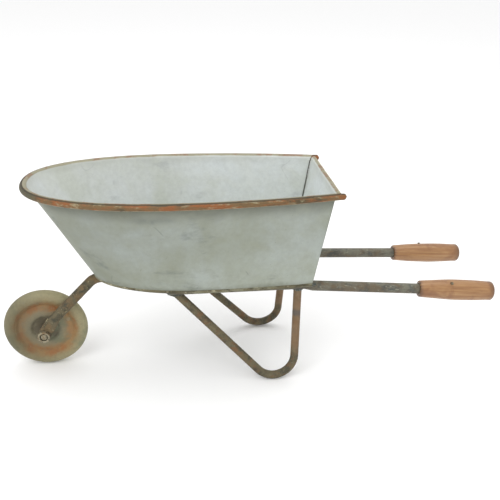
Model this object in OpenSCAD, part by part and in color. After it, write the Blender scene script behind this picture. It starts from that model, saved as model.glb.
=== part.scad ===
// Planter wheelbarrow: a folded zinc tub on two tube rails with wooden grips,
// two hairpin legs, and a stamped steel wheel on a one-sided arm.
// Millimetres. +X runs from the wheel to the grips, +Y is the right-hand side,
// +Z is up. The origin is the middle of the object's footprint, on the ground.

/* [Tub rim] */
// Length of the rim from its nose to its rear corners, on the bead's centre line
rim_length = 389; // [320:1:470]
// Widest width of the rim, on the bead's centre line
rim_width = 192; // [165:1:230]
// Width of the rim at its rear corners, on the bead's centre line
rim_rear_width = 155; // [135:1:185]
// Distance from the rim's nose back to its widest place
rim_widest_at = 194; // [165:1:225]
// Height of the rim bead's centre above the ground
rim_height = 267.5; // [230:0.5:310]
// Fullness of the rim's nose: 2 is an ellipse, more is squarer
rim_fullness = 2.3; // [2:0.1:3]
// How far the rim's nose reaches ahead of the axle
nose_overhang = 7; // [0:1:30]

/* [Tub floor] */
// Length of the floor from its nose to its rear edge
floor_length = 283; // [245:1:330]
// Widest width of the floor
floor_width = 141; // [125:1:165]
// Width of the floor at its rear edge
floor_rear_width = 131; // [116:1:150]
// Distance from the floor's nose back to its widest place
floor_widest_at = 143; // [120:1:165]
// Fullness of the floor's nose
floor_fullness = 2; // [1.8:0.1:2.6]
// Distance from the rim's nose back to the floor's nose
nose_slope_run = 79.5; // [60:0.5:95]
// Height of the floor's underside above the ground
floor_height = 138; // [115:1:165]

/* [Sheet metal] */
// Thickness of the tub's sheet
sheet_t = 1; // [0.8:0.1:1.5]
// Height by which the middle of the floor stands above its edge
floor_raise = 0.6; // [0.4:0.1:1.5]
// Width of the flat edge of the floor, from the wall's middle to the raised part
floor_edge = 4; // [3:0.5:8]
// Height of the folded seam round the floor's edge
seam_height = 4.5; // [3:0.5:7]
// Clearance between the seam's fold and the wall inside it
seam_gap = 0.15; // [0.1:0.05:0.3]

/* [Rim bead] */
// Outer radius of the rolled bead along the sides and nose
bead_r = 4.4; // [3.6:0.1:5.5]
// Outer radius of the rolled bead along the rear edge
rear_bead_r = 3.7; // [3:0.1:4.5]
// Wall thickness of the rolled beads
bead_wall = 0.9; // [0.7:0.1:1.2]
// Clearance between a bead's bore and the wire in it
wire_gap = 0.15; // [0.1:0.05:0.3]
// How far the side bead runs past the rear bead's centre line
bead_tail = 8; // [5:0.5:12]
// Clearance between a bead and the sheet or bead that ends on it
bead_gap = 0.1; // [0.05:0.05:0.3]

/* [Rails] */
// Outer radius of the rail tubes and of the wheel arm's tube
tube_r = 6.9; // [5.7:0.05:8.3]
// Wall thickness of the tubes
tube_wall = 1.2; // [1:0.1:1.8]
// Height of the pressed flat stretch under the floor
flat_height = 8.5; // [7:0.5:11]
// Width of the pressed flat stretch under the floor
flat_width = 17.5; // [15:0.5:20]
// Distance between the two rails' centre lines under the floor
rail_spacing = 102; // [90:1:112]
// Distance from the floor's rear edge forward to the flat stretch's rear end
flat_rear_setback = 8; // [2:1:20]
// How far the flat stretch runs ahead of the front strut's top
flat_front_reach = 11; // [11:1:40]
// Length over which the flat stretch turns into the round tube
press_length = 13; // [8:1:20]
// Length from the round tube's start to the grip's rear end
handle_length = 252; // [215:1:310]
// Angle by which each handle spreads outwards
handle_splay = 2.5; // [0:0.5:6]
// Angle by which each handle drops towards its rear end
handle_drop = 3.5; // [0:0.5:6]

/* [Grips] */
// Length of a wooden grip
grip_length = 105; // [85:1:125]
// Radius of a grip at its front face
grip_front_r = 11.2; // [10:0.1:13]
// Largest radius of a grip
grip_r = 14.1; // [12:0.1:16]
// Radius of a grip just ahead of its rounded rear end
grip_rear_r = 13.2; // [11:0.1:15]
// Radius of the rounding at a grip's rear end
grip_round = 5; // [3:0.5:7]
// Wood left behind the blind bore that holds the rail
grip_end_wood = 15; // [10:1:25]
// Radial clearance between a grip's bore and the rail
grip_gap = 0.1; // [0.05:0.05:0.2]
// Distance from a grip's front face back to its nail
nail_at = 43; // [25:1:60]
// Angle of the nail from straight up, towards the outside
nail_lean = 26; // [0:1:60]
// Radius of the nail's shank
nail_r = 1.2; // [0.8:0.1:1.6]
// Radius of the nail's domed head
nail_head_r = 2.4; // [1.8:0.1:3.2]

/* [Legs] */
// Outer radius of the leg tube
leg_r = 5.5; // [4.5:0.1:6.5]
// Wall thickness of the leg tube
leg_wall = 1.2; // [1:0.1:1.6]
// Distance from the flat stretch's rear end forward to the rear strut's back
leg_rear_setback = 1.5; // [1:0.5:15]
// Distance between the two struts' tops, along the rail
leg_top_span = 162; // [140:1:168]
// Distance from the rear strut's top forward to the foot
foot_setback = 32; // [20:1:70]
// Centre-line radius of the bend at the foot
foot_bend_r = 29; // [22:1:36]
// Distance between the two feet's centre lines
foot_spacing = 142; // [120:1:160]

/* [Wheel] */
// Outer radius of the wheel
wheel_r = 56.5; // [48:0.5:66]
// Width of the wheel's rounded rim
wheel_width = 19; // [14:0.1:23]
// Thickness of the stamped discs
disc_t = 1.2; // [1:0.1:1.6]
// Sideways shift of the wheel from the centre plane, away from its arm
wheel_shift = 3; // [2:0.5:6]
// Gap between the two discs' edges, the seam round the rim
disc_seam = 0.2; // [0.1:0.05:0.4]
// Radius at which the rim's inner slope meets the web
web_outer_r = 36; // [32:0.5:37]
// Radius of the raised ring round the hub recess
web_crown_r = 23; // [20:0.5:26]
// Radius of the flat hub recess
hub_recess_r = 16.5; // [14:0.5:18]
// Half depth of the wheel at the foot of the rim's inner slope
web_low = 3.6; // [3:0.1:5]
// Half depth of the wheel at the raised ring
web_high = 6.2; // [5:0.1:7]

/* [Axle] */
// Radius of the axle rod
axle_r = 4; // [3:0.1:5]
// Radial running clearance between the axle rod and the hub tube
axle_gap = 0.05; // [0.02:0.01:0.1]
// Wall thickness of the hub tube
hub_wall = 2.4; // [1.8:0.1:3]
// Length of the hub tube
hub_length = 25; // [23:0.5:30]
// Radial clearance between the hub tube and the discs' holes
hub_seat_gap = 0.05; // [0.02:0.01:0.1]
// End play between the hub tube and the washer on each side
end_play = 0.3; // [0.2:0.1:0.6]
// Gap between the wheel's rim and the middle of the arm's tab, sideways
arm_clearance = 14; // [12:0.5:20]
// Thickness of the arm's flattened tab
tab_t = 4; // [3:0.5:5]
// Width of the arm's flattened tab
tab_width = 17; // [15:0.5:20]
// Thickness of the washers
washer_t = 1.2; // [1:0.1:2]
// Outer radius of the washers
washer_r = 8; // [7:0.5:10]
// Outer radius of the collar on the tab's outer face
collar_r = 8.2; // [7.5:0.1:10]
// Bore radius of the collar
collar_bore_r = 5.5; // [5:0.1:6.5]
// Length of the collar
collar_length = 4; // [3:0.5:7]
// How far the axle rod's end is sunk inside the collar
rod_sink = 0.8; // [0.4:0.1:2]
// Distance across the flats of the axle nut
nut_flats = 13; // [12:0.5:17]
// Thickness of the axle nut
nut_t = 6.5; // [5:0.1:8]
// How far the axle rod's thread shows past the nut
thread_show = 2.5; // [1:0.5:5]

/* [Wheel arm] */
// Length of the arm's straight run under the floor
arm_run = 150; // [100:5:200]
// Centre-line radius of the arm's bend at the floor's nose
arm_bend_r = 25; // [20:1:35]
// Distance from the floor's nose forward to the corner of the arm's bend
arm_corner_ahead = 2; // [0:0.5:6]
// Distance from the axle back to the end of the arm's round tube
arm_tube_end_x = 15; // [12:0.5:20]
// Height of the end of the arm's round tube above the axle
arm_tube_end_z = 24.5; // [20:0.5:30]

/* [Hidden] */
$fn = 48;

// Amount by which a cut runs past the face it cuts
cut = 1;
// Thickness of the end slices that a blended stretch is hulled between, and how far each
// slice lies inside the piece that it grows out of
slice = 0.1;
// Angle by which the two halves of a leg's bend overlap each other
bend_overlap = 1;
// Number of stations along half of the tub's nose, and along half of its rear stretch
nose_steps = 24;
rear_steps = 8;
// Number of sides of the rolled bead and of the wire
bead_sides = 14;
// Number of sides of the arm's tube, and of steps round its bend
arm_sides = 24;
arm_steps = 8;

// Heights
tube_axis_z = floor_height - tube_r;
flat_axis_z = floor_height - flat_height / 2;
flat_bottom_z = floor_height - flat_height;
floor_top_z = floor_height + sheet_t;

// Places along X, measured from the axle
rim_nose_x = -nose_overhang;
rim_rear_x = rim_nose_x + rim_length;
floor_nose_x = rim_nose_x + nose_slope_run;
floor_rear_x = floor_nose_x + floor_length;
flat_rear_x = floor_rear_x - flat_rear_setback;
handle_start_x = flat_rear_x + press_length;
leg_rear_x = flat_rear_x - leg_rear_setback - leg_r;
leg_front_x = leg_rear_x - leg_top_span;
flat_front_x = leg_front_x - flat_front_reach;
foot_x = leg_rear_x - foot_setback;

// Direction and ends of a handle, on the left-hand side where y is negative
rail_half = rail_spacing / 2;
handle_dir = [cos(handle_drop) * cos(handle_splay),
    -cos(handle_drop) * sin(handle_splay), -sin(handle_drop)];
handle_start = [handle_start_x, -rail_half, tube_axis_z];
grip_end = handle_start + handle_length * handle_dir;
grip_front = grip_end - grip_length * handle_dir;
grip_bore = grip_length - grip_end_wood;

// The footprint's middle: from the wheel's front to the grips' rear ends
handle_tilt = acos(handle_dir[0]);
grip_reach = handle_start_x + (handle_length - grip_round) * cos(handle_tilt)
    + (grip_rear_r - grip_round) * sin(handle_tilt) + grip_round;
middle_x = (grip_reach - wheel_r) / 2;

// Places along Y on the axle, which points to the right-hand side
hub_left_y = wheel_shift - hub_length / 2;
hub_right_y = wheel_shift + hub_length / 2;
tab_y = wheel_shift - wheel_width / 2 - arm_clearance;
left_washer_y = hub_left_y - end_play - washer_t;
right_washer_y = hub_right_y + end_play;
collar_y = tab_y - tab_t / 2 - collar_length;
rod_left_y = collar_y + rod_sink;
rod_right_y = right_washer_y + washer_t + nut_t + thread_show;
hub_r = axle_r + axle_gap + hub_wall;

// The arm: corner of its bend, end of its tube and the axle
arm_corner = [floor_nose_x - arm_corner_ahead, 0, tube_axis_z];
arm_tube_end = [arm_tube_end_x, tab_y, wheel_r + arm_tube_end_z];
arm_eye = [0, tab_y, wheel_r];

// One outline of the tub in plan: from the left rear corner round the nose to the right
// rear corner. The nose is a superellipse and the rear stretch a parabola.
function half_outline(nose_x, wide_x, rear_x, half_width, rear_half_width, fullness) = concat(
    [for (k = [0 : rear_steps - 1]) let (s = 1 - k / rear_steps)
        [wide_x + (rear_x - wide_x) * s, -half_width + (half_width - rear_half_width) * s * s]],
    [for (k = [0 : nose_steps]) let (a = 90 * (1 - k / nose_steps))
        [wide_x - (wide_x - nose_x) * pow(cos(a), 2 / fullness),
         -half_width * pow(sin(a), 2 / fullness)]]);
function outline(half) = concat(half,
    [for (k = [len(half) - 2 : -1 : 0]) [half[k][0], -half[k][1]]]);

rim_line = outline(half_outline(rim_nose_x, rim_nose_x + rim_widest_at, rim_rear_x,
    rim_width / 2, rim_rear_width / 2, rim_fullness));
floor_line = outline(half_outline(floor_nose_x, floor_nose_x + floor_widest_at, floor_rear_x,
    floor_width / 2, floor_rear_width / 2, floor_fullness));
stations = len(rim_line);

// Outward direction of an outline at one station; square to the centre plane at both ends
function outward(line, k) = k == 0 ? [0, -1] : k == len(line) - 1 ? [0, 1]
    : let (t = line[k + 1] - line[k - 1]) [t[1], -t[0]] / -norm(t);

// The beads are rolled outwards, so the wall and the rear panel pass just inside them. How
// far inside, at the bead's height, follows from how far the sheet leans out.
function side_inset(k) = let (n = outward(rim_line, k), run = rim_line[k] - floor_line[k],
    lean = atan2(run[0] * n[0] + run[1] * n[1], rim_height - floor_top_z))
    (bead_r + bead_gap) / cos(lean) + sheet_t / 2;
rear_inset = (rear_bead_r + bead_gap + sheet_t)
    / cos(atan2(rim_rear_x - floor_rear_x, rim_height - floor_top_z));
function rear_share(k) = max(0, 1 - min(k, stations - 1 - k) / rear_steps);

// A point of the wall at one station, up the wall by a distance, moved outwards by another
function wall_foot(k) = [floor_line[k][0], floor_line[k][1], floor_top_z];
function wall_head(k) = let (n = outward(rim_line, k))
    [rim_line[k][0] - side_inset(k) * n[0] - rear_inset * rear_share(k),
     rim_line[k][1] - side_inset(k) * n[1], rim_height];
function wall_length(k) = norm(wall_head(k) - wall_foot(k));
// The sheet's top edge stands beside the bead, halfway between its middle and its top
wall_rise = (rim_height + bead_r / 2 - floor_top_z) / (rim_height - floor_top_z);
function wall_point(k, up, out) = let (foot = wall_foot(k),
    slope = (wall_head(k) - foot) / wall_length(k), n = outward(rim_line, k))
    foot + up * slope + out * [n[0], n[1], 0];

// A closed skin through rings of points, with flat ends. A ring runs counter-clockwise
// when it is seen from the rings that follow it.
module skin(rings) {
    sides = len(rings[0]);
    last = len(rings) - 1;
    polyhedron(
        points = [for (ring = rings) each ring],
        faces = concat(
            [[for (j = [0 : sides - 1]) j]],
            [[for (j = [sides - 1 : -1 : 0]) last * sides + j]],
            [for (i = [0 : last - 1], j = [0 : sides - 1]) let (a = i * sides, b = a + sides,
                n = (j + 1) % sides) each [[a + j, b + j, b + n], [a + j, b + n, a + n]]]));
}

// The same skin with a bore: every ring has a smaller one inside it
module bored_skin(outer, inner) {
    sides = len(outer[0]);
    last = len(outer) - 1;
    bore = len(outer) * sides;
    polyhedron(
        points = [for (rings = [outer, inner], ring = rings) each ring],
        faces = concat(
            [for (i = [0 : last - 1], j = [0 : sides - 1]) let (a = i * sides, b = a + sides,
                n = (j + 1) % sides) each [[a + j, b + j, b + n], [a + j, b + n, a + n],
                [bore + a + j, bore + b + n, bore + b + j],
                [bore + a + j, bore + a + n, bore + b + n]]],
            [for (j = [0 : sides - 1]) let (n = (j + 1) % sides, b = last * sides)
                each [[j, n, bore + n], [j, bore + n, bore + j],
                [b + j, bore + b + j, bore + b + n], [b + j, bore + b + n, b + n]]]));
}

// The bead's centre line: the rim's outline, with a straight tail at each end
bead_line = concat([rim_line[0] + [bead_tail, 0]], rim_line,
    [rim_line[stations - 1] + [bead_tail, 0]]);
function bead_ring(k, r) = let (n = k < 2 ? [0, -1] : k > stations - 1 ? [0, 1]
    : outward(bead_line, k)) [for (j = [0 : bead_sides - 1]) let (a = 360 * j / bead_sides)
    [bead_line[k][0] + r * cos(a) * n[0], bead_line[k][1] + r * cos(a) * n[1],
     rim_height + r * sin(a)]];

// A strip of sheet that follows the wall from one distance up it to another, which is a
// function of the station
module wall_strip(low, high_at, inner, outer) {
    skin([for (k = [0 : stations - 1]) let (high = high_at(k))
        [wall_point(k, high, outer), wall_point(k, high, inner),
         wall_point(k, low, inner), wall_point(k, low, outer)]]);
}

// A straight round bar between two points
module bar(from, to, r) {
    run = to - from;
    translate(from) rotate([0, acos(run[2] / norm(run)), atan2(run[1], run[0])])
        cylinder(h = norm(run), r = r);
}

// A bent round bar that starts on the X axis and turns about Z
module elbow(angle, bend_r, r) {
    rotate_extrude(angle = angle) translate([bend_r, 0]) circle(r = r);
}

// Puts its children on the right-hand side instead of the left
module right_hand() mirror([0, 1, 0]) children();

// Moves a shape from the axle's place to the footprint's middle
module placed() translate([-middle_x, 0, 0]) children();

// ---- tub ----

module tub_side_sheet() {
    color("lightsteelblue") placed()
        wall_strip(0, function(k) wall_rise * wall_length(k), -sheet_t / 2, sheet_t / 2);
}

// The panel leans with the wall's rear edges and closes the tub behind them
module tub_rear_panel() {
    run = wall_head(0)[0] - floor_rear_x;
    rise = rim_height - floor_top_z;
    foot_half = floor_rear_width / 2 + sheet_t / 2;
    head_half = sheet_t / 2 - wall_head(0)[1];
    top = norm([run, rise]) * wall_rise;
    top_half = foot_half + (head_half - foot_half) * wall_rise;
    color("lightsteelblue") placed() translate([floor_rear_x, 0, floor_top_z])
        rotate([0, atan2(run, rise), 0]) rotate([90, 0, 90]) linear_extrude(sheet_t)
        polygon([[-foot_half, run / rise * sheet_t], [foot_half, run / rise * sheet_t],
            [top_half, top], [-top_half, top]]);
}

// The floor's outline moved outwards by a distance, or inwards where it is less than 0.
// Its rear edge moves by the same distance.
function floor_edge_line(out) = [for (k = [0 : stations - 1]) let (n = outward(rim_line, k))
    floor_line[k] + out * n + (k == 0 || k == stations - 1 ? [min(out, sheet_t), 0] : [0, 0])];

// Floor plate with a raised middle; the wall and the seam stand on its edge
module tub_floor() {
    color("silver") placed() {
        translate([0, 0, floor_height]) linear_extrude(sheet_t)
            polygon(floor_edge_line(sheet_t * 3 / 2 + seam_gap));
        translate([0, 0, floor_height + sheet_t / 2]) linear_extrude(sheet_t / 2 + floor_raise)
            polygon(floor_edge_line(-floor_edge));
    }
}

// The fold that grips the foot of the wall
module floor_seam() {
    fold_in = sheet_t / 2 + seam_gap;
    color("tan") placed()
        wall_strip(0, function(k) seam_height, fold_in, fold_in + sheet_t - seam_gap);
}

module side_rim_bead() {
    color("peru") placed() bored_skin(
        [for (k = [0 : stations + 1]) bead_ring(k, bead_r)],
        [for (k = [0 : stations + 1]) bead_ring(k, bead_r - bead_wall)]);
}

module side_rim_wire() {
    color("dimgray") placed()
        skin([for (k = [0 : stations + 1]) bead_ring(k, bead_r - bead_wall - wire_gap)]);
}

rear_bead_half = rim_rear_width / 2 - bead_r - bead_gap;
module rear_rim_bar(r, bore_r) {
    placed() translate([rim_rear_x, rear_bead_half, rim_height]) rotate([90, 0, 0])
        difference() {
            cylinder(h = 2 * rear_bead_half, r = r);
            if (bore_r > 0)
                translate([0, 0, -cut]) cylinder(h = 2 * (rear_bead_half + cut), r = bore_r);
        }
}

module rear_rim_bead() color("tan") rear_rim_bar(rear_bead_r, rear_bead_r - bead_wall);

module rear_rim_wire() color("dimgray") rear_rim_bar(rear_bead_r - bead_wall - wire_gap, 0);

// ---- rails and grips ----

// Section of the pressed tube, or the same section made smaller all round: two half circles
// joined by flats
module flat_section(inset = 0) {
    spread = (flat_width - flat_height) / 2;
    for (side = [-1, 1]) translate([side * spread, 0]) circle(r = flat_height / 2 - inset);
    square([2 * spread, flat_height - 2 * inset], center = true);
}

// A length of pressed tube that starts at x and lies along X
module flat_run(x, length, inset = 0) {
    translate([x, -rail_half, flat_axis_z]) rotate([90, 0, 90])
        linear_extrude(length) flat_section(inset);
}

module left_rail_shape() {
    tube_end = grip_end - (grip_end_wood + cut) * handle_dir;
    difference() {
        union() {
            flat_run(flat_front_x, flat_rear_x - flat_front_x);
            hull() {
                flat_run(flat_rear_x - 2 * slice, slice, slice, $fn = 32);
                bar(handle_start + slice * handle_dir, handle_start + 2 * slice * handle_dir,
                    tube_r - slice, $fn = 32);
            }
            bar(handle_start, tube_end, tube_r);
        }
        bar(handle_start + cut * handle_dir, tube_end + cut * handle_dir, tube_r - tube_wall);
        nail_bar(nail_r + grip_gap);
    }
}

module left_rail() color("darkkhaki") placed() left_rail_shape();

module right_rail() color("darkkhaki") placed() right_hand() left_rail_shape();

// Barrel-shaped profile of a grip: radius against distance from its front face
grip_profile = concat([[0, 0], [grip_front_r - 1, 0], [grip_front_r, 1]],
    [for (k = [1 : 11]) let (s = k / 12) [grip_front_r + (grip_r - grip_front_r) * sin(150 * s),
        1 + (grip_length - grip_round - 1) * s]],
    [for (a = [0 : 15 : 90]) [grip_rear_r - grip_round + grip_round * cos(a),
        grip_length - grip_round + grip_round * sin(a)]],
    [[0, grip_length]]);

// Puts its children in a grip's own frame: Z from its front face to its rear end,
// and X towards the nail
module in_grip() {
    translate(grip_front) rotate([0, acos(handle_dir[2]), atan2(handle_dir[1], handle_dir[0])])
        rotate([0, 0, 180 + nail_lean]) children();
}

nail_tip_r = tube_r - tube_wall - 2;
module nail_bar(r) {
    in_grip() translate([nail_tip_r, 0, nail_at]) rotate([0, 90, 0])
        cylinder(h = grip_r - nail_tip_r, r = r);
}

module left_grip_shape() {
    difference() {
        in_grip() rotate_extrude() polygon(grip_profile);
        bar(grip_front - cut * handle_dir, grip_front + grip_bore * handle_dir, tube_r + grip_gap);
        nail_bar(nail_r + grip_gap);
    }
}

module left_grip() color("peru") placed() left_grip_shape();

module right_grip() color("peru") placed() right_hand() left_grip_shape();

// A nail whose domed head stands just clear of the wood
module left_nail_shape() {
    nail_bar(nail_r);
    in_grip() translate([grip_r + grip_gap, 0, nail_at]) rotate([0, 90, 0]) {
        translate([0, 0, -2 * grip_gap]) cylinder(h = 2 * grip_gap, r = nail_r);
        rotate_extrude() polygon(concat([[0, 0]],
            [for (a = [0 : 15 : 90]) [nail_head_r * cos(a), nail_head_r * sin(a) / 2]]));
    }
}

module left_grip_nail() color("dimgray") placed() left_nail_shape();

module right_grip_nail() color("dimgray") placed() right_hand() left_nail_shape();

// ---- legs ----

// The leg lies in a plane that leans outwards from the rail's underside to the foot.
// In that plane, a is along X and b is the distance down from the underside.
leg_lean = let (rise = flat_bottom_z - leg_r, out = foot_spacing / 2 - rail_half)
    atan2(out, rise);
foot_centre = [foot_x, (flat_bottom_z - leg_r) / cos(leg_lean) - foot_bend_r];

// Angle at the foot's centre of the place where a line from a strut's top touches the bend.
// side is -1 for the front strut and 1 for the rear one.
function touch_angle(top, side) = let (d = top - foot_centre)
    atan2(d[1], d[0]) + side * acos(foot_bend_r / norm(d));

module leg_plane() {
    translate([0, -rail_half, flat_bottom_z]) rotate([-90 - leg_lean, 0, 0]) children();
}

// A strut that leaves the bend at an angle round it and runs straight past the underside.
// side is -1 for the front strut and 1 for the rear one.
module strut(top, side, r, past) {
    run = sqrt(pow(norm(top - foot_centre), 2) - pow(foot_bend_r, 2));
    rotate([0, 0, touch_angle(top, side)]) translate([foot_bend_r, 0, 0])
        rotate([side * 90, 0, 0]) cylinder(h = run + past, r = r);
}

// Each strut carries half of the bend, and the halves overlap by a little
module leg_shape_of(r, past) {
    front_top = [leg_front_x, 0];
    rear_top = [leg_rear_x, 0];
    sweep = (touch_angle(front_top, -1) - touch_angle(rear_top, 1) + 720) % 360;
    translate([foot_centre[0], foot_centre[1], 0]) {
        strut(front_top, -1, r, past);
        strut(rear_top, 1, r, past);
        rotate([0, 0, touch_angle(rear_top, 1)])
            elbow(sweep / 2 + bend_overlap, foot_bend_r, r);
        rotate([0, 0, touch_angle(front_top, -1)]) mirror([0, 1, 0])
            elbow(sweep / 2 + bend_overlap, foot_bend_r, r);
    }
}

module left_leg_shape() {
    past = 4 * leg_r;
    difference() {
        leg_plane() difference() {
            leg_shape_of(leg_r, past);
            leg_shape_of(leg_r - leg_wall, past + cut);
        }
        translate([leg_front_x - past * 2, -foot_spacing, flat_bottom_z])
            cube([leg_top_span + past * 4, foot_spacing, past * 2]);
    }
}

module left_leg() color("rosybrown") placed() left_leg_shape();

module right_leg() color("rosybrown") placed() right_hand() left_leg_shape();

// ---- wheel arm ----

// The arm has a plain run under the floor, a bend in the plane of both runs, the sloping
// run, and a flattened tab round the axle
arm_slope = (arm_tube_end - arm_corner) / norm(arm_tube_end - arm_corner);
arm_bend = acos(-arm_slope[0]);
arm_setback = arm_bend_r * tan(arm_bend / 2);
arm_slope_run = norm(arm_tube_end - arm_corner) - arm_setback;

// Puts its children in the plane of both runs: X as it is, and Y down the sloping side
module arm_plane() {
    translate(arm_corner) rotate([atan2(arm_slope[2], arm_slope[1]), 0, 0]) children();
}

// A ring round the arm's centre line, where the bend has turned by an angle
function arm_ring(x, down, a, r) = [for (j = [0 : arm_sides - 1]) let (t = 360 * j / arm_sides)
    [x + r * cos(t) * sin(a), down + r * cos(t) * cos(a), -r * sin(t)]];

// The arm's rings: the plain run's end, the bend and the sloping run's end
function arm_rings(r) = let (bend_x = arm_setback - arm_bend_r * sin(arm_bend),
    bend_down = arm_bend_r * (1 - cos(arm_bend))) concat(
    [arm_ring(arm_setback + arm_run, 0, 0, r)],
    [for (k = [0 : arm_steps]) let (a = arm_bend * k / arm_steps)
        arm_ring(arm_setback - arm_bend_r * sin(a), arm_bend_r * (1 - cos(a)), a, r)],
    [arm_ring(bend_x - arm_slope_run * cos(arm_bend), bend_down + arm_slope_run * sin(arm_bend),
        arm_bend, r)]);

module wheel_arm() {
    tab_start = arm_tube_end + (arm_eye - arm_tube_end) / 3;
    color("olivedrab") placed() difference() {
        union() {
            arm_plane() bored_skin(arm_rings(tube_r), arm_rings(tube_r - tube_wall));
            hull() {
                bar(arm_tube_end - 2 * slice * arm_slope, arm_tube_end - slice * arm_slope,
                    tube_r - slice, $fn = 32);
                translate(tab_start)
                    tab_disc(tab_width / 2 - slice, tab_t - 2 * slice, $fn = 32);
            }
            hull() {
                translate(tab_start) tab_disc(tab_width / 2, $fn = 32);
                translate(arm_eye) tab_disc(tab_width / 2, $fn = 32);
            }
        }
        translate(arm_eye) tab_disc(axle_r + axle_gap, depth = tab_t + 2 * cut);
    }
}

module tab_disc(r, depth = tab_t) {
    rotate([90, 0, 0]) cylinder(h = depth, r = r, center = true);
}

// ---- axle ----

// A ring on the axle from one place along Y, with an optional bore
module on_axle(y, length, r, bore_r) {
    placed() translate([0, y + length, wheel_r]) rotate([90, 0, 0]) difference() {
        cylinder(h = length, r = r);
        if (bore_r > 0) translate([0, 0, -cut]) cylinder(h = length + 2 * cut, r = bore_r);
    }
}

module axle_collar() color("silver") on_axle(collar_y, collar_length, collar_r, collar_bore_r);

module axle_rod() color("dimgray") on_axle(rod_left_y, rod_right_y - rod_left_y, axle_r, 0);

module axle_spacer() {
    y = tab_y + tab_t / 2;
    color("gray") on_axle(y, left_washer_y - y, hub_r, axle_r + axle_gap);
}

module axle_washers() {
    color("gainsboro") for (y = [left_washer_y, right_washer_y])
        on_axle(y, washer_t, washer_r, axle_r + axle_gap);
}

module axle_nut() {
    color("gray") placed() translate([0, right_washer_y + washer_t + nut_t, wheel_r])
        rotate([90, 0, 0]) difference() {
            cylinder(h = nut_t, r = nut_flats / sqrt(3), $fn = 6);
            translate([0, 0, -cut]) cylinder(h = nut_t + 2 * cut, r = axle_r + axle_gap);
        }
}

// ---- wheel ----

// Middle line of one disc's section, from the rim's seam to the hub: radius against half depth
disc_line = let (round_r = wheel_width / 2 - disc_t / 2, centre_r = wheel_r - wheel_width / 2)
    concat([for (a = [0 : 15 : 150]) [centre_r + round_r * cos(a), round_r * sin(a)]],
        [[web_outer_r, web_low], [web_crown_r, web_high], [web_crown_r - 4, web_high - 0.4],
         [hub_recess_r, web_low], [hub_r + hub_seat_gap, web_low]]);

// A line moved sideways by a distance
function moved_line(line, d) = [for (k = [0 : len(line) - 1])
    let (a = line[max(k - 1, 0)], b = line[min(k + 1, len(line) - 1)], t = (b - a) / norm(b - a))
    line[k] + d * [t[1], -t[0]]];

module disc_shape() {
    out = moved_line(disc_line, disc_t / 2);
    in = moved_line(disc_line, -disc_t / 2);
    last = len(disc_line) - 1;
    translate([0, 0, disc_seam / 2]) rotate_extrude() polygon(concat(
        [[out[0][0], 0]], [for (k = [1 : last]) out[k]],
        [for (k = [last : -1 : 1]) in[k]], [[in[0][0], 0]]));
}

module wheel_half(side) {
    color("darkseagreen") placed() translate([0, wheel_shift, wheel_r])
        rotate([side * 90, 0, 0]) disc_shape();
}

module wheel_disc_left() wheel_half(1);

module wheel_disc_right() wheel_half(-1);

module wheel_hub_tube() {
    color("slategray") on_axle(hub_left_y, hub_length, hub_r, axle_r + axle_gap);
}

tub_side_sheet();
tub_rear_panel();
tub_floor();
floor_seam();
side_rim_bead();
side_rim_wire();
rear_rim_bead();
rear_rim_wire();
left_rail();
right_rail();
left_grip();
right_grip();
left_grip_nail();
right_grip_nail();
left_leg();
right_leg();
wheel_arm();
axle_collar();
axle_rod();
axle_spacer();
axle_washers();
axle_nut();
wheel_disc_left();
wheel_disc_right();
wheel_hub_tube();
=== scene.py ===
"""Looks of a small planter wheelbarrow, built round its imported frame.

Sizes in the classes are millimetres. Places along X are measured from the axle, and
`at()` turns them into metres in the shared frame. The levels in the finishes are metres
in that frame, as the shaders see them.
"""

import logging
import math
from contextlib import contextmanager
from dataclasses import dataclass
from enum import Enum
from typing import Callable, Iterator, Sequence

import bmesh
import bpy
from mathutils import Matrix, Vector, noise


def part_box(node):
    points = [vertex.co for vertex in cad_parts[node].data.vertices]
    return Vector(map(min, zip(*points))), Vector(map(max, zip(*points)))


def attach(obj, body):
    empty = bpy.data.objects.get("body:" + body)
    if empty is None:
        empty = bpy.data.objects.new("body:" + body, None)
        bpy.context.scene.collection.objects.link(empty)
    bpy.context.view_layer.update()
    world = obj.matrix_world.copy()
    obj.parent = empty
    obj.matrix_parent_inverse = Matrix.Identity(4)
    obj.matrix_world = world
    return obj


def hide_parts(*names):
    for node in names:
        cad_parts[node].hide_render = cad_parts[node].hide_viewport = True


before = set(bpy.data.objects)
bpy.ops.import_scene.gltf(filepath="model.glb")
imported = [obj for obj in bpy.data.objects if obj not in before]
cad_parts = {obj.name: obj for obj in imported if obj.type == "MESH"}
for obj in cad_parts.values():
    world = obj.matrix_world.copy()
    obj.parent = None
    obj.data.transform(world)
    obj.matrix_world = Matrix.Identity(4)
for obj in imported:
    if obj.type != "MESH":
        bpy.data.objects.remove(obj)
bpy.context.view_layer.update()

logging.basicConfig(level=logging.INFO, format="%(message)s")
log = logging.getLogger("wheelbarrow")

Colour = tuple[float, float, float, float]
Triple = tuple[float, float, float]
Stops = Sequence[tuple[float, Colour]]
Socket = bpy.types.NodeSocket
Material = bpy.types.Material
Thing = bpy.types.Object
Move = Callable[[Vector, Vector], Vector]
Surface = Callable[[float, float], Vector]

MM = 0.001
MERGE = 1e-6


def centre_of(node: str) -> Vector:
    """Middle of a CAD node's box, in metres."""
    low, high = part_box(node)
    return (low + high) / 2


AXLE = centre_of("axle_rod")
WHEEL_MIDDLE = Vector((AXLE.x, centre_of("wheel_hub_tube").y, AXLE.z))


def at(x: float, y: float, z: float) -> Vector:
    """A place in the shared frame from millimetres, with X measured from the axle."""
    return Vector((AXLE.x + x * MM, y * MM, z * MM))


class Body(Enum):
    """The bodies that a piece can ride on."""

    BARROW = "barrow"
    WHEEL = "wheel"


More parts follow.
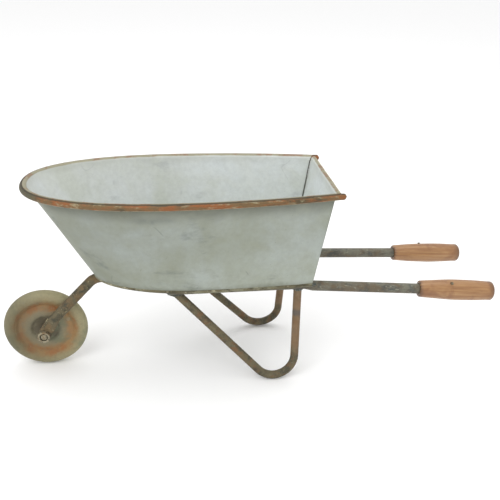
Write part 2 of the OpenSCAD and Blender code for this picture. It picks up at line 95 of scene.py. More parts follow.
class Side(Enum):
    """The two sides of the barrow: the value is the sign of Y."""

    LEFT = -1
    RIGHT = 1

    @property
    def word(self) -> str:
        """The side as the names of nodes and pieces have it."""
        return self.name.lower()


def tone(red: int, green: int, blue: int) -> Colour:
    """A display colour as the linear colour that a shader takes.

    Args:
        red: 0 to 255.
        green: 0 to 255.
        blue: 0 to 255.

    Returns:
        Linear red, green, blue and 1.
    """

    def linear(value: int) -> float:
        """One channel, from display to linear."""
        share = value / 255
        return share / 12.92 if share <= 0.04045 else ((share + 0.055) / 1.055) ** 2.4

    return (linear(red), linear(green), linear(blue), 1.0)


def tones(*codes: tuple[int, int, int]) -> tuple[Colour, ...]:
    """Several display colours as linear ones."""
    return tuple(tone(*code) for code in codes)


# ---- node graphs ----


class Graph:
    """A material whose nodes are laid out by short calls."""

    def __init__(self, name: str, metallic: float, coat: float = 0.0) -> None:
        """Start a material.

        Args:
            name: the material's name.
            metallic: how metallic it is all over.
            coat: weight of a clear coat all over.
        """
        self.material = bpy.data.materials.new(name)
        self.material.use_nodes = True
        self.tree = self.material.node_tree
        self.tree.nodes.clear()
        self.shader = self.add("ShaderNodeBsdfPrincipled")
        self.shader.inputs["Metallic"].default_value = metallic
        self.shader.inputs["Coat Weight"].default_value = coat
        out = self.add("ShaderNodeOutputMaterial")
        self.join(self.shader.outputs["BSDF"], out.inputs["Surface"])
        self.place = self.add("ShaderNodeTexCoord").outputs["Object"]

    def add(self, kind: str, **settings: object) -> bpy.types.Node:
        """Add a node and set its properties."""
        node = self.tree.nodes.new(kind)
        for key, value in settings.items():
            setattr(node, key, value)
        return node

    def join(self, out: Socket, into: Socket) -> None:
        """Link an output to an input."""
        self.tree.links.new(out, into)

    def feed(self, into: Socket, value: object) -> None:
        """Link a socket, or set a plain value."""
        if isinstance(value, Socket):
            self.join(value, into)
        else:
            into.default_value = value

    def laid(
        self, centre: Vector = Vector(), stretch: Triple = (1, 1, 1), turn: Triple = (0, 0, 0)
    ) -> Socket:
        """Object coordinates taken from a centre, turned and then stretched.

        Args:
            centre: the place that becomes the pattern's origin.
            stretch: factor along each turned axis.
            turn: Euler angles in radians.

        Returns:
            The coordinates.
        """
        where = self.place
        for entry, value in (("Location", -centre), ("Rotation", turn), ("Scale", stretch)):
            node = self.add("ShaderNodeMapping", vector_type="POINT")
            node.inputs[entry].default_value = value
            self.join(where, node.inputs["Vector"])
            where = node.outputs["Vector"]
        return where

    def clouds(
        self, size: float, detail: float = 4, rough: float = 0.55, swirl: float = 0.0,
        where: Socket | None = None,
    ) -> Socket:
        """Cloudy noise.

        Args:
            size: width of one cloud in millimetres.
            detail: number of finer layers.
            rough: strength of the finer layers.
            swirl: how far the clouds are drawn out of shape.
            where: coordinates to use instead of the object's own.

        Returns:
            A value round 0.5.
        """
        node = self.add("ShaderNodeTexNoise")
        node.inputs["Scale"].default_value = 1 / (size * MM)
        node.inputs["Detail"].default_value = detail
        node.inputs["Roughness"].default_value = rough
        node.inputs["Distortion"].default_value = swirl
        self.join(where or self.place, node.inputs["Vector"])
        return node.outputs["Fac"]

    def span(self, value: Socket, low: float, high: float, a: float = 0, b: float = 1) -> Socket:
        """Stretch a value so that low gives a and high gives b, held at both ends."""
        node = self.add("ShaderNodeMapRange", clamp=True, interpolation_type="SMOOTHSTEP")
        for key, number in zip(("From Min", "From Max", "To Min", "To Max"), (low, high, a, b)):
            node.inputs[key].default_value = number
        self.join(value, node.inputs["Value"])
        return node.outputs["Result"]

    def reckon(self, kind: str, a: object, b: object = 0.0) -> Socket:
        """Arithmetic on two values."""
        node = self.add("ShaderNodeMath", operation=kind)
        self.feed(node.inputs[0], a)
        self.feed(node.inputs[1], b)
        return node.outputs[0]

    def plus(self, a: object, b: object) -> Socket:
        """The sum of two values."""
        return self.reckon("ADD", a, b)

    def times(self, a: object, b: object) -> Socket:
        """The product of two values."""
        return self.reckon("MULTIPLY", a, b)

    def minus(self, a: object, b: object) -> Socket:
        """The difference of two values."""
        return self.reckon("SUBTRACT", a, b)

    def sway(self, clouds: Socket, width: float) -> Socket:
        """A drift round 0 from cloudy noise, of a given width."""
        return self.times(self.minus(clouds, 0.5), width)

    def away(self, value: Socket, level: float) -> Socket:
        """How far a value is from a level."""
        return self.reckon("ABSOLUTE", self.minus(value, level))

    def length(self, where: Socket) -> Socket:
        """Distance of coordinates from their origin."""
        node = self.add("ShaderNodeVectorMath", operation="LENGTH")
        self.join(where, node.inputs[0])
        return node.outputs["Value"]

    def axis(self, name: str, where: Socket | None = None) -> Socket:
        """One coordinate, in metres."""
        node = self.add("ShaderNodeSeparateXYZ")
        self.join(where or self.place, node.inputs["Vector"])
        return node.outputs[name]

    def ramp(self, value: Socket, stops: Stops) -> Socket:
        """Colours along a value."""
        node = self.add("ShaderNodeValToRGB")
        elements = node.color_ramp.elements
        while len(elements) < len(stops):
            elements.new(0.5)
        for element, (place, colour) in zip(elements, stops):
            element.position = place
            element.color = colour
        self.join(value, node.inputs["Fac"])
        return node.outputs["Color"]

    def blend(self, share: object, a: object, b: object) -> Socket:
        """Mix two colours: a where share is 0, b where it is 1."""
        node = self.add("ShaderNodeMix", data_type="RGBA")
        self.feed(node.inputs[0], share)
        self.feed(node.inputs[6], a)
        self.feed(node.inputs[7], b)
        return node.outputs[2]

    def cover(self, colour: Socket, *coats: tuple[Socket, object]) -> Socket:
        """Lay coats over a colour.

        Args:
            colour: what is underneath.
            coats: for each coat in turn, its share and its colour.

        Returns:
            The covered colour.
        """
        for share, coat in coats:
            colour = self.blend(share, colour, coat)
        return colour

    def shade(self, colour: Socket, *values: Socket) -> Socket:
        """Darken or lighten a colour by each value."""
        for value in values:
            node = self.add("ShaderNodeVectorMath", operation="SCALE")
            self.feed(node.inputs[0], colour)
            self.feed(node.inputs["Scale"], value)
            colour = node.outputs[0]
        return colour

    def spot(self, centre: Vector, reach: Triple) -> Socket:
        """A soft spot.

        Args:
            centre: its middle.
            reach: how far it reaches along each axis, in metres.

        Returns:
            1 in the middle, falling to 0 at its edge.
        """
        return self.span(self.length(self.laid(centre, tuple(1 / r for r in reach))), 0, 1, 1, 0)

    def hairlines(self, size: float, width: float, keep: float) -> Socket:
        """Thin curved scratches.

        Args:
            size: spread of the curves in millimetres.
            width: half width of a line, as a share of the noise's range.
            keep: where a second noise passes this, the line stays.

        Returns:
            1 on a scratch and 0 off it.
        """
        line = self.span(self.away(self.clouds(size, detail=1, swirl=0.4), 0.5), 0, width, 1, 0)
        kept = self.span(self.clouds(size * 0.55, detail=1), keep, keep + 0.04)
        return self.times(line, kept)

    def surface(
        self, colour: Socket, roughness: Socket, height: Socket, depth: float, strength: float
    ) -> Material:
        """Finish the material.

        Args:
            colour: the base colour.
            roughness: the roughness.
            height: the relief, from 0 to 1.
            depth: the relief's depth in millimetres.
            strength: how strongly it shades.

        Returns:
            The material.
        """
        bump = self.add("ShaderNodeBump")
        bump.inputs["Strength"].default_value = strength
        bump.inputs["Distance"].default_value = depth * MM
        self.join(height, bump.inputs["Height"])
        self.join(bump.outputs["Normal"], self.shader.inputs["Normal"])
        self.join(colour, self.shader.inputs["Base Color"])
        self.join(roughness, self.shader.inputs["Roughness"])
        return self.material


# ---- finishes ----


@dataclass(frozen=True)
class ZincPatina:
    """Cloudy dull zinc with faint scratches and smudges, darker at its foot, with painted shade
    under the rim.

    The coats are the cool, middle and warm zinc, the smudges, and the grime that also paints the
    shade under the rim.
    """

    name: str
    coats: tuple[Colour, ...]
    under_rim_shade_low: float
    under_rim_shade_high: float
    under_rim_shade_share: float
    stain: Vector
    stain_reach: Triple = (0.035, 1, 0.008)
    lip: Colour = tone(134, 128, 102)
    lip_rust: Colour = tone(122, 84, 50)
    lip_from: float = 0.2695
    lip_soft: float = 0.0012
    foot_high: float = 0.15
    foot_low: float = 0.139
    painted_light_low: float = 0.15
    painted_light_high: float = 0.22
    front: float = -0.25
    back: float = 0.1
    metallic: float = 0.25

    def make(self) -> Material:
        """Build the material."""
        g = Graph(self.name, self.metallic)
        cool, middle, warm, smudge, grime_and_shade = self.coats
        along, height = g.axis("X"), g.axis("Z")
        broad = g.clouds(85, detail=3, swirl=0.8)
        drift = g.clouds(30, detail=5, rough=0.6, swirl=0.5)
        mottle = g.clouds(6, detail=5, rough=0.7)
        both = g.plus(g.times(broad, 0.6), g.times(drift, 0.4))
        both = g.plus(both, g.span(along, self.front, self.back, -0.05, 0.06))
        colour = g.ramp(both, [(0.36, warm), (0.5, middle), (0.64, cool)])
        level_grain = g.laid(Vector((0.13, 0, 0)), (0.4, 1, 1))
        smears = g.clouds(30, detail=6, rough=0.65, where=level_grain)
        stain = g.times(g.spot(self.stain, self.stain_reach), g.span(drift, 0.35, 0.6, 0.3, 0.75))
        colour = g.cover(colour, (g.span(smears, 0.57, 0.72, 0, 0.6), smudge), (stain, smudge))
        # The second and third factors are painted light: the zinc lighter towards the rear and
        # lighter low down.
        colour = g.shade(colour, g.span(mottle, 0.25, 0.75, 0.93, 1.07),
                         g.span(along, self.front, self.back, 0.97, 1.12),
                         g.span(height, self.painted_light_low, self.painted_light_high, 1.1, 1.0))
        wobble = g.sway(drift, 0.02)
        level = g.plus(height, wobble)
        # Painted shade: the zinc darkened just under the rim.
        under_rim_shade = g.span(level, self.under_rim_shade_low, self.under_rim_shade_high, 0, self.under_rim_shade_share)
        foot = g.span(level, self.foot_low, self.foot_high, 0.5, 0)
        scratches = g.hairlines(70, 0.006, 0.6)
        freckles = g.span(g.clouds(2.4, detail=2), 0.7, 0.78, 0, 0.4)
        lip = g.span(g.plus(height, g.times(wobble, 0.1)),
                     self.lip_from, self.lip_from + self.lip_soft, 0, 0.9)
        rust = g.span(g.clouds(22, detail=5, rough=0.7), 0.5, 0.58, 0, 0.8)
        colour = g.cover(colour, (under_rim_shade, grime_and_shade), (foot, grime_and_shade), (g.times(scratches, 0.45), smudge),
                         (freckles, grime_and_shade), (lip, g.blend(rust, self.lip, self.lip_rust)))
        rough = g.span(g.plus(mottle, drift), 0.7, 1.3, 0.46, 0.66)
        relief = g.minus(g.plus(g.times(mottle, 0.35), broad), g.times(scratches, 0.3))
        return g.surface(colour, rough, relief, 0.5, 0.5)


@dataclass(frozen=True)
class PatchyRust:
    """Metal that shows several coats and rusts in patches of two sizes.

    The coats are the ground, a second one, dark blotches and worn scuffs, which on the weld
    are a painted glint. The starts are the noise at which each of the last three sets in.
    """

    name: str
    coats: tuple[Colour, ...]
    starts: Triple
    patch: float
    metallic: float = 0.25
    depth: float = 0.35
    grain: Triple = (1, 1, 1)
    soft: float = 0.05

    def make(self) -> Material:
        """Build the material."""
        g = Graph(self.name, self.metallic)
        ground, second, dark, worn = self.coats
        second_from, dark_from, worn_from = self.starts
        where = g.laid(stretch=self.grain)
        shifted = g.laid(Vector((0.3, 0.2, 0.1)), self.grain)
        broad = g.clouds(self.patch, detail=5, rough=0.65, swirl=0.6, where=where)
        small = g.clouds(self.patch * 0.35, detail=6, rough=0.7, where=where)
        other = g.clouds(self.patch * 0.8, detail=5, rough=0.7, swirl=0.4, where=shifted)
        grains = g.clouds(1.3, detail=3, rough=0.6)
        seconds = g.span(broad, second_from - self.soft, second_from + self.soft)
        blotches = g.span(other, dark_from - self.soft, dark_from + self.soft, 0, 0.85)
        scuffs = g.span(small, worn_from - 0.02, worn_from + 0.06, 0, 0.8)
        colour = g.cover(g.blend(seconds, ground, second), (blotches, dark), (scuffs, worn))
        colour = g.shade(colour, g.span(grains, 0.25, 0.75, 0.74, 1.22))
        rough = g.span(g.plus(small, grains), 0.7, 1.3, 0.5, 0.82)
        relief = g.plus(g.times(small, 0.8), g.times(grains, 0.35))
        return g.surface(self.marked(g, colour, relief), rough, relief, self.depth, 0.8)

    def marked(self, g: Graph, colour: Socket, relief: Socket) -> Socket:
        """Add what one kind of part has on top of the patches.

        Args:
            g: the graph to lay it out in.
            colour: the patches' colour.
            relief: their relief.

        Returns:
            The colour with its marks: here the patches alone.
        """
        return colour


@dataclass(frozen=True)
class RolledEdge(PatchyRust):
    """Patchy rust on a rolled rim: a pale line under it, a dark lap on it, a bare nose."""

    line: Colour = tone(178, 172, 142)
    line_top: float = 0.2652
    line_low: float = 0.2636
    lap: Colour = tone(58, 52, 38)
    lap_from: float = 0.2704
    lap_soft: float = 0.0008
    nose: Colour = tone(78, 80, 62)
    nose_from: float = -0.245
    nose_to: float = -0.278

    def marked(self, g: Graph, colour: Socket, relief: Socket) -> Socket:
        """Bare the nose, darken the lap and draw the pale line, each with a ragged edge."""
        ragged = g.clouds(7, detail=5, rough=0.7)
        drift = g.sway(ragged, 0.05)
        along = g.plus(g.axis("X"), drift)
        level = g.plus(g.axis("Z"), g.times(drift, 0.03))
        nose = g.span(along, self.nose_to, self.nose_from, 0.85, 0)
        lap = g.span(level, self.lap_from, self.lap_from + self.lap_soft, 0, 0.8)
        line = g.times(g.span(level, self.line_low, self.line_top, 0.8, 0),
                       g.span(ragged, 0.38, 0.52))
        return g.cover(colour, (nose, self.nose), (lap, self.lap), (line, self.line))


@dataclass(frozen=True)
class TannedStrut(PatchyRust):
    """Patchy rust on a leg, with a tan rear strut and a blue-grey burn on it."""

    tan: Colour = tone(136, 111, 84)
    tan_rust: Colour = tone(122, 94, 66)
    tan_from: float = 0.044
    tan_to: float = 0.052
    tan_low: float = 0.03
    tan_soft: float = 0.02
    burn: Colour = tone(66, 74, 78)
    burn_level: float = 0.096
    burn_core: float = 0.002
    burn_reach: float = 0.009

    def marked(self, g: Graph, colour: Socket, relief: Socket) -> Socket:
        """Tan the rear strut, drifting towards rust and back, and burn a band across it."""
        ragged = g.sway(g.clouds(12, detail=4), 0.02)
        along, level = g.plus(g.axis("X"), ragged), g.plus(g.axis("Z"), ragged)
        strut = g.times(g.span(along, self.tan_from, self.tan_to, 0, 0.7),
                        g.span(level, self.tan_low, self.tan_low + self.tan_soft))
        tan = g.ramp(g.clouds(20, detail=4, rough=0.6), [(0.4, self.tan), (0.62, self.tan_rust)])
        tan = g.shade(tan, g.span(relief, 0.3, 0.8, 0.8, 1.15))
        band = g.span(g.away(level, self.burn_level), self.burn_core, self.burn_reach, 0.6, 0)
        burn = g.times(band, g.span(along, self.tan_from, self.tan_to))
        return g.cover(colour, (strut, tan), (burn, self.burn))


@dataclass(frozen=True)
class PaintedDisc:
    """Worn paint on the stamped wheel in soft rings round the axle, with painted shade in the
    hub's recess and a painted highlight on the rim.
    """

    name: str
    radius: float = 56.5
    metallic: float = 0.2
    # The darkest stops, in the hub's recess, are painted shade; the palest, on the rim, are partly
    # the paint and partly a painted highlight.
    rings: Stops = (
        (0.0, tone(78, 70, 54)), (0.26, tone(92, 84, 66)), (0.36, tone(126, 120, 98)),
        (0.47, tone(138, 126, 98)), (0.57, tone(148, 116, 78)), (0.68, tone(150, 118, 76)),
        (0.78, tone(140, 126, 92)), (0.88, tone(148, 140, 108)), (1.0, tone(156, 149, 116)))
    flare: Colour = tone(150, 96, 52)
    olive: Colour = tone(106, 112, 88)
    worn: Colour = tone(150, 144, 120)
    painted_front_shade: Colour = tone(76, 70, 50)
    front_shade_full: float = -0.055
    front_shade_none: float = 0.03

    def make(self) -> Material:
        """Build the material."""
        g = Graph(self.name, self.metallic)
        flat = g.laid(WHEEL_MIDDLE, (1, 0, 1))
        blur = g.clouds(20, detail=4, rough=0.6)
        fine = g.clouds(4, detail=5, rough=0.7)
        reach = g.times(g.length(flat), 1 / (self.radius * MM))
        reach = g.plus(reach, g.plus(g.sway(blur, 0.22), g.sway(fine, 0.12)))
        ring = g.times(g.span(reach, 0.5, 0.6, 0, 1), g.span(reach, 0.68, 0.8, 1, 0))
        flare = g.times(ring, g.span(g.clouds(26, detail=4, rough=0.6), 0.44, 0.6, 0, 0.75))
        patches = g.clouds(34, detail=3, where=g.laid(Vector((0.1, 0, 0.4))))
        worn = g.span(g.clouds(9, detail=6, rough=0.7), 0.58, 0.7, 0, 0.4)
        # Painted shade: the disc darker towards its front.
        painted_front_shade = g.span(g.axis("X", flat), self.front_shade_full, self.front_shade_none, 0.6, 0)
        colour = g.cover(g.ramp(reach, self.rings), (flare, self.flare),
                         (g.span(patches, 0.5, 0.66, 0, 0.6), self.olive), (worn, self.worn),
                         (painted_front_shade, self.painted_front_shade))
        colour = g.shade(colour, g.span(fine, 0.2, 0.8, 0.84, 1.14))
        rough = g.span(fine, 0.3, 0.7, 0.5, 0.75)
        return g.surface(colour, rough, g.plus(fine, g.times(blur, 0.6)), 0.3, 0.6)


@dataclass(frozen=True)
class TurnedWood:
    """Oiled turned wood with grain along the handle and stained ends."""

    name: str
    ends: tuple[float, float]
    heading: Triple
    coat: float = 0.35
    grain: Triple = (0.055, 1, 1)
    woods: Stops = (
        (0.28, tone(124, 84, 48)), (0.45, tone(144, 103, 62)), (0.6, tone(156, 116, 72)),
        (0.78, tone(170, 134, 92)))
    stain: Colour = tone(118, 74, 40)
    pore: Colour = tone(80, 52, 30)
    front_stain: Colour = tone(84, 56, 36)
    rear_stain: Colour = tone(92, 62, 40)
    front_reach: float = 0.006
    rear_reach: float = 0.012
    rear_full: float = 0.001

    def make(self) -> Material:
        """Build the material."""
        g = Graph(self.name, 0.0, self.coat)
        front, rear = self.ends
        along = g.laid(Vector(), self.grain, self.heading)
        grain = g.clouds(3.2, detail=5, rough=0.6, swirl=0.25, where=along)
        stain = g.span(g.clouds(26, detail=3, swirl=0.5), 0.48, 0.66, 0, 0.6)
        pores = g.span(g.clouds(0.9, detail=3, rough=0.6, where=along), 0.6, 0.74, 0, 0.5)
        place = g.plus(g.axis("X"), g.sway(grain, 0.012))
        dark_front = g.span(place, front, front + self.front_reach, 0.75, 0)
        dark_rear = g.span(place, rear - self.rear_reach, rear - self.rear_full, 0, 0.8)
        colour = g.cover(g.ramp(grain, self.woods), (stain, self.stain), (pores, self.pore),
                         (dark_front, self.front_stain), (dark_rear, self.rear_stain))
        rough = g.span(grain, 0.3, 0.7, 0.62, 0.42)
        return g.surface(colour, rough, g.minus(grain, g.times(pores, 0.8)), 0.25, 0.7)


class Finishes:
    """Every finish of the barrow, made once."""

    def __init__(self) -> None:
        """Build all the materials."""
        # The outside and inside are one zinc sheet: the outside copy is darker as painted shade
        # and the inside copy lighter as painted light.
        self.zinc_outside_shaded = ZincPatina(
            "zinc_outside_shaded",
            tones((146, 152, 146), (136, 141, 130), (128, 132, 117), (98, 104, 100), (92, 94, 80)),
            0.24, 0.264, 0.7, at(152, -90, 247)).make()
        self.zinc_inside_lit = ZincPatina(
            "zinc_inside_lit",
            tones((202, 207, 207), (198, 202, 199), (190, 194, 186), (166, 170, 169),
                  (152, 154, 142)),
            0.258, 0.27, 0.35, at(60, 70, 160)).make()
        self.rolled_rim = RolledEdge(
            "rolled_rim", tones((134, 82, 42), (112, 88, 56), (72, 64, 44), (152, 144, 114)),
            (0.5, 0.56, 0.58), 13, grain=(0.22, 1, 1), soft=0.06).make()
        self.rear_hem = PatchyRust(
            "rear_hem", tones((182, 176, 152), (158, 148, 118), (132, 84, 46), (204, 196, 172)),
            (0.5, 0.56, 0.58), 10, grain=(1, 0.22, 1)).make()
        self.seam = PatchyRust(
            "folded_seam", tones((122, 120, 98), (100, 94, 70), (64, 60, 44), (172, 166, 140)),
            (0.5, 0.54, 0.59), 12, grain=(0.3, 1, 1)).make()
        self.joint = PatchyRust(
            "corner_joint", tones((92, 94, 84), (66, 68, 60), (46, 48, 44), (124, 122, 106)),
            (0.5, 0.54, 0.62), 8).make()
        self.tube = PatchyRust(
            "aged_tube", tones((112, 110, 96), (98, 86, 68), (66, 70, 68), (150, 148, 130)),
            (0.52, 0.55, 0.6), 11, grain=(0.6, 1, 1), soft=0.12).make()
        self.arm = PatchyRust(
            "aged_arm", tones((108, 90, 62), (96, 88, 66), (58, 58, 44), (150, 142, 112)),
            (0.5, 0.55, 0.61), 14, soft=0.09).make()
        self.leg = TannedStrut(
            "rusted_leg", tones((102, 94, 70), (112, 84, 56), (66, 64, 50), (122, 120, 102)),
            (0.54, 0.52, 0.61), 16, soft=0.1).make()
        self.steel = PatchyRust(
            "plain_steel", tones((126, 118, 98), (106, 84, 60), (72, 68, 56), (170, 164, 144)),
            (0.52, 0.58, 0.6), 6, metallic=0.5).make()
        self.collar = PatchyRust(
            "worn_collar", tones((150, 142, 120), (126, 108, 82), (74, 68, 54), (184, 178, 158)),
            (0.52, 0.58, 0.6), 5, metallic=0.5).make()
        # Its pale fourth coat is a painted glint on the weld.
        self.weld = PatchyRust(
            "weld_metal", tones((104, 110, 108), (92, 90, 74), (60, 64, 60), (184, 178, 152)),
            (0.5, 0.56, 0.6), 5, metallic=0.5, depth=0.6).make()
        self.disc = PaintedDisc("painted_disc").make()


# ---- modelling ----


class Workpiece:
    """One mesh on the bench, from its primitive to its finished skin."""

    def __init__(self, name: str) -> None:
        """Take the primitive that was just added, and go on in edit mode."""
        self.obj = bpy.context.object
        self.obj.name = name
        self.obj.data.name = name
        bpy.ops.object.mode_set(mode="EDIT")
        bpy.ops.mesh.select_mode(type="VERT")
        bpy.ops.mesh.select_all(action="SELECT")

    @staticmethod
    def clear() -> None:
        """Leave edit mode and deselect everything."""
        if bpy.context.object and bpy.context.object.mode != "OBJECT":
            bpy.ops.object.mode_set(mode="OBJECT")
        bpy.ops.object.select_all(action="DESELECT")

    @classmethod
    def turned(cls, name: str, profile: Sequence[tuple[float, float]], sides: int) -> "Workpiece":
        """Turn a profile about Z: a ring is extruded and resized from step to step.

        Args:
            name: the piece's name.
            profile: radius and height of each step, in millimetres.
            sides: corners of the ring.

        Returns:
            The workpiece.
        """
        cls.clear()
        radius, z = profile[0]
        bpy.ops.mesh.primitive_circle_add(
            vertices=sides, radius=radius * MM, location=(0, 0, z * MM))
        piece = cls(name)
        for (last_r, last_z), (radius, z) in zip(profile, profile[1:]):
            piece.push(Vector((0, 0, (z - last_z) * MM)))
            share = radius / last_r
            bpy.ops.transform.resize(value=(share, share, 1), center_override=(0, 0, z * MM))
        return piece

    @classmethod
    def sheet(cls, name: str, columns: int, rows: int, bent: Surface) -> "Workpiece":
        """Start from a flat sheet of squares and bend it onto a surface.

        Args:
            name: the piece's name.
            columns: squares along the sheet.
            rows: squares up it.
            bent: place of the point at a share along and a share up.

        Returns:
            The workpiece.
        """
        cls.clear()
        bpy.ops.mesh.primitive_grid_add(x_subdivisions=columns, y_subdivisions=rows, size=1)
        piece = cls(name)
        with piece.mesh() as mesh:
            for corner in mesh.verts:
                corner.co = bent(corner.co.x + 0.5, corner.co.y + 0.5)
        return piece

    @classmethod
    def tube(cls, name: str, columns: int, rows: int, bent: Surface) -> "Workpiece":
        """Bend a sheet until its long edges meet, and close its ends.

        Args:
            name: the piece's name.
            columns: squares along the tube.
            rows: squares round it.
            bent: place of the point at a share along and a share round.

        Returns:
            The workpiece.
        """
        piece = cls.sheet(name, columns, rows, bent)
        bpy.ops.mesh.remove_doubles(threshold=MERGE)
        bpy.ops.mesh.select_all(action="DESELECT")
        bpy.ops.mesh.select_non_manifold(
            extend=False, use_wire=False, use_boundary=True, use_multi_face=False,
            use_non_contiguous=False, use_verts=False)
        bpy.ops.mesh.fill_holes(sides=0)
        piece.skin()
        return piece

    @contextmanager
    def mesh(self) -> Iterator[bmesh.types.BMesh]:
        """The mesh in edit mode, for changes that are written back at the end."""
        mesh = bmesh.from_edit_mesh(self.obj.data)
        yield mesh
        bmesh.update_edit_mesh(self.obj.data)

    def push(self, way: Vector) -> None:
        """Extrude what is selected."""
        bpy.ops.mesh.extrude_region_move(TRANSFORM_OT_translate={"value": way})

    def place(self, matrix: Matrix = Matrix.Identity(4)) -> None:
        """Move all of the mesh by a matrix, and the object back to the origin."""
        with self.mesh() as mesh:
            bmesh.ops.transform(mesh, matrix=matrix @ self.obj.matrix_world, verts=mesh.verts[:])
        self.obj.matrix_world = Matrix.Identity(4)

    def skin(self) -> None:
        """Merge doubles and point every face outwards."""
        bpy.ops.mesh.select_all(action="SELECT")
        bpy.ops.mesh.remove_doubles(threshold=MERGE)
        bpy.ops.mesh.normals_make_consistent(inside=False)

    def face_away(self, middle: Vector) -> None:
        """Turn an open sheet's faces away from a place."""
        with self.mesh() as mesh:
            mesh.normal_update()
            vote = sum((face.calc_center_median() - middle).dot(face.normal)
                       for face in mesh.faces)
            if vote < 0:
                bmesh.ops.reverse_faces(mesh, faces=mesh.faces[:])

    def hammer(self, move: Move) -> None:
        """Shift every point by a function of its place and normal."""
        with self.mesh() as mesh:
            mesh.normal_update()
            shifts = [(corner, move(corner.co.copy(), corner.normal.copy()))
                      for corner in mesh.verts]
            for corner, shift in shifts:
                corner.co += shift

    def thicken(self, thickness: float) -> None:
        """Give a sheet its thickness, with a second slot for its inner side.

        Args:
            thickness: the sheet's thickness in millimetres.
        """
        for _ in range(2):
            self.obj.data.materials.append(None)
        bpy.ops.object.mode_set(mode="OBJECT")
        modifier = self.obj.modifiers.new("thickness", "SOLIDIFY")
        modifier.thickness = thickness * MM
        modifier.offset = 0
        modifier.material_offset = 1
        bpy.ops.object.modifier_apply(modifier=modifier.name)
        bpy.ops.object.mode_set(mode="EDIT")

    def done(self, angle: float) -> Thing:
        """Leave edit mode with smooth shading up to an angle.

        Args:
            angle: edges sharper than this many degrees stay sharp.

        Returns:
            The object, at the origin.
        """
        bpy.ops.object.mode_set(mode="OBJECT")
        bpy.ops.object.transform_apply(location=True, rotation=True, scale=True)
        bpy.ops.object.shade_smooth_by_angle(angle=math.radians(angle))
        return self.obj


def uneven(grain: float, depth: float, shift: Vector = Vector()) -> Move:
    """A move that beats a skin slightly uneven.

    Args:
        grain: how fine the unevenness is, per metre.
        depth: how far it reaches out in millimetres, below 0 for inwards.
        shift: a place of its own in the noise.

    Returns:
        The move.
    """
    return lambda place, normal: normal * noise.noise(place * grain + shift) * depth * MM


def dress(
    obj: Thing, finishes: Sequence[Material], body: Body,
    stands_for: Sequence[str] = (),
) -> None:
    """Give a piece its finish, its body and the nodes it stands for.

    Args:
        obj: the piece.
        finishes: its materials in slot order.
        body: the body it rides on.
        stands_for: CAD nodes that it replaces.
    """
    for slot_number, finish in enumerate(finishes):
        if slot_number == len(obj.data.materials):
            obj.data.materials.append(finish)
        obj.data.materials[slot_number] = finish
    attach(obj, body.value)
    if stands_for:
        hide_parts(*stands_for)
    log.info("%s: %d faces", obj.name, len(obj.data.polygons))


def paint_node(node: str, finish: Material) -> None:
    """Give a CAD node a finish."""
    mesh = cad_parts[node].data
    mesh.materials.clear()
    mesh.materials.append(finish)
    log.info("%s: CAD node", node)


def smooth_line(points: Sequence[tuple[float, float]], steps: int) -> list[tuple[float, float]]:
    """A smooth curve through points.

    Args:
        points: the points to pass through.
        steps: stretches between each two.

    Returns:
        The points of the curve, ends included.
    """
    line = [Vector(p) for p in points]
    line = [line[0] * 2 - line[1], *line, line[-1] * 2 - line[-2]]
    curve = []
    for i in range(1, len(line) - 2):
        a, b, c, d = line[i - 1 : i + 3]
        for k in range(steps):
            t = k / steps
            p = 0.5 * (2 * b + (c - a) * t + (2 * a - 5 * b + 4 * c - d) * t * t
                       + (3 * b - a - 3 * c + d) * t ** 3)
            curve.append((p.x, p.y))
    curve.append((line[-2].x, line[-2].y))
    return curve


def ease(share: float) -> float:
    """A share that starts and ends softly."""
    return share * share * (3 - 2 * share)


# ---- tub ----


@dataclass(frozen=True)
class Outline:
    """The tub's outline in plan: a rounded nose, a widest place and a narrower rear."""

    nose: float
    widest: float
    rear: float
    half: float
    rear_half: float
    fullness: float
    rear_run: float = 0.34

    def point(self, share: float, height: float) -> Vector:
        """The outline's point at a share of its length.

        Args:
            share: 0 at the left rear corner, 0.5 at the nose, 1 at the right rear corner.
            height: height of the point in millimetres.

        Returns:
            The point, in metres.
        """
        side = -1 if share <= 0.5 else 1
        run = 1 - abs(2 * share - 1)
        if run < self.rear_run:
            s = 1 - run / self.rear_run
            x = self.widest + (self.rear - self.widest) * s
            y = self.half - (self.half - self.rear_half) * s * s
        else:
            a = math.radians(90) * (1 - (run - self.rear_run) / (1 - self.rear_run))
            power = 2 / self.fullness
            x = self.widest - (self.widest - self.nose) * max(math.cos(a), 0) ** power
            y = self.half * math.sin(a) ** power
        return at(x, side * y, height)


